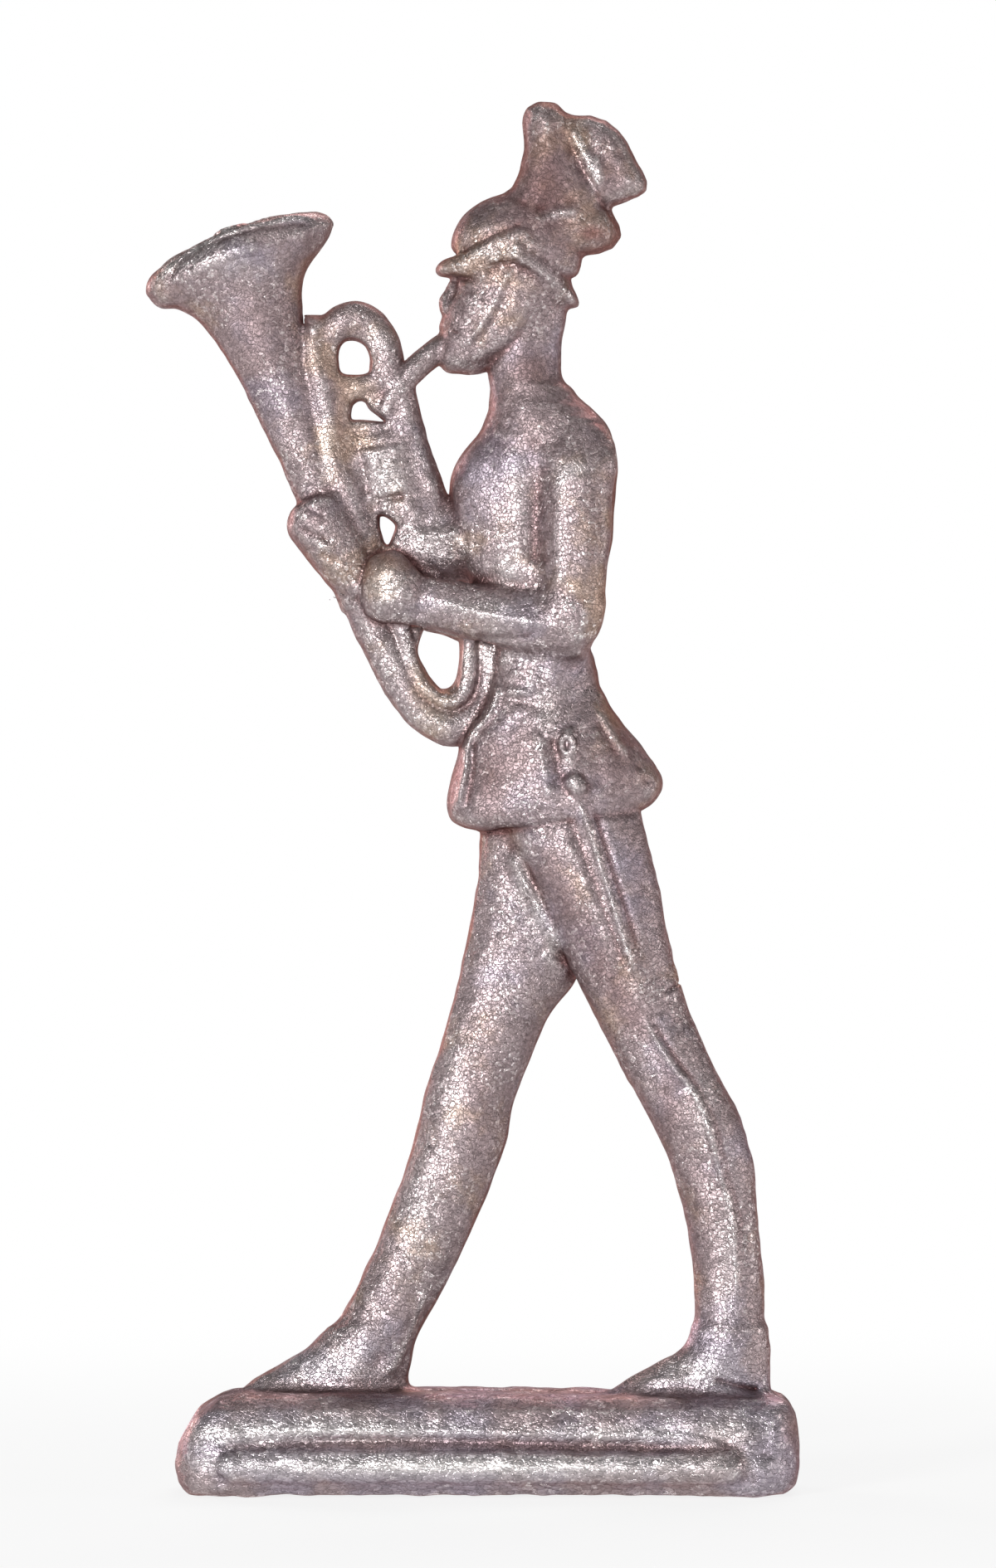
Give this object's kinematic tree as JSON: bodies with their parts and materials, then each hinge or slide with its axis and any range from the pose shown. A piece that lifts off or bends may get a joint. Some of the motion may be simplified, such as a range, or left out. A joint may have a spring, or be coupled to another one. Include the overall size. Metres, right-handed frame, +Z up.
{
  "type": "toy soldier",
  "caption": "Semi-flat cast lead toy bandsman in a plumed helmet, striding on a bar base and playing an upright-bell horn held in both hands",
  "frame": {"origin": "centre of the flat underside of the base", "axes": "+Z up through the figure, X along the base with the bandsman marching toward -X, -Y toward the side seen in the picture; the mould parts along y = 0"},
  "size_m": [0.0298, 0.0096, 0.0632],
  "materials": {
    "base": "matte",
    "far_foot": "matte",
    "near_foot": "matte",
    "far_leg": "matte",
    "near_leg": "matte",
    "tunic_skirt": "matte",
    "belt": "matte",
    "tunic_body": "matte",
    "collar": "matte",
    "scabbard": "matte",
    "sword_hilt": "matte",
    "near_upper_arm": "matte",
    "near_forearm": "matte",
    "near_hand": "matte",
    "far_upper_arm": "matte",
    "far_forearm": "matte",
    "far_hand": "matte",
    "head": "matte",
    "helmet_dome": "matte",
    "visor": "matte",
    "neck_guard": "matte",
    "chin_strap": "matte",
    "crown_lobe": "matte",
    "plume_socket": "matte",
    "plume": "matte",
    "horn_bell": "matte",
    "horn_main_bow": "matte",
    "horn_inner_bow": "matte",
    "horn_top_loop": "matte",
    "horn_side_tubes": "matte",
    "horn_back_tube": "matte",
    "horn_valves": "matte",
    "horn_brace": "matte",
    "horn_mouthpipe": "matte"
  },
  "bodies": {
    "root": {"base": "base", "far_foot": "far_foot", "near_foot": "near_foot", "far_leg": "far_leg", "near_leg": "near_leg", "tunic_skirt": "tunic_skirt", "belt": "belt", "tunic_body": "tunic_body", "collar": "collar", "scabbard": "scabbard", "sword_hilt": "sword_hilt", "near_upper_arm": "near_upper_arm", "near_forearm": "near_forearm", "near_hand": "near_hand", "far_upper_arm": "far_upper_arm", "far_forearm": "far_forearm", "far_hand": "far_hand", "head": "head", "helmet_dome": "helmet_dome", "visor": "visor", "neck_guard": "neck_guard", "chin_strap": "chin_strap", "crown_lobe": "crown_lobe", "plume_socket": "plume_socket", "plume": "plume", "horn_bell": "horn_bell", "horn_main_bow": "horn_main_bow", "horn_inner_bow": "horn_inner_bow", "horn_top_loop": "horn_top_loop", "horn_side_tubes": "horn_side_tubes", "horn_back_tube": "horn_back_tube", "horn_valves": "horn_valves", "horn_brace": "horn_brace", "horn_mouthpipe": "horn_mouthpipe"}
  },
  "joints": []
}
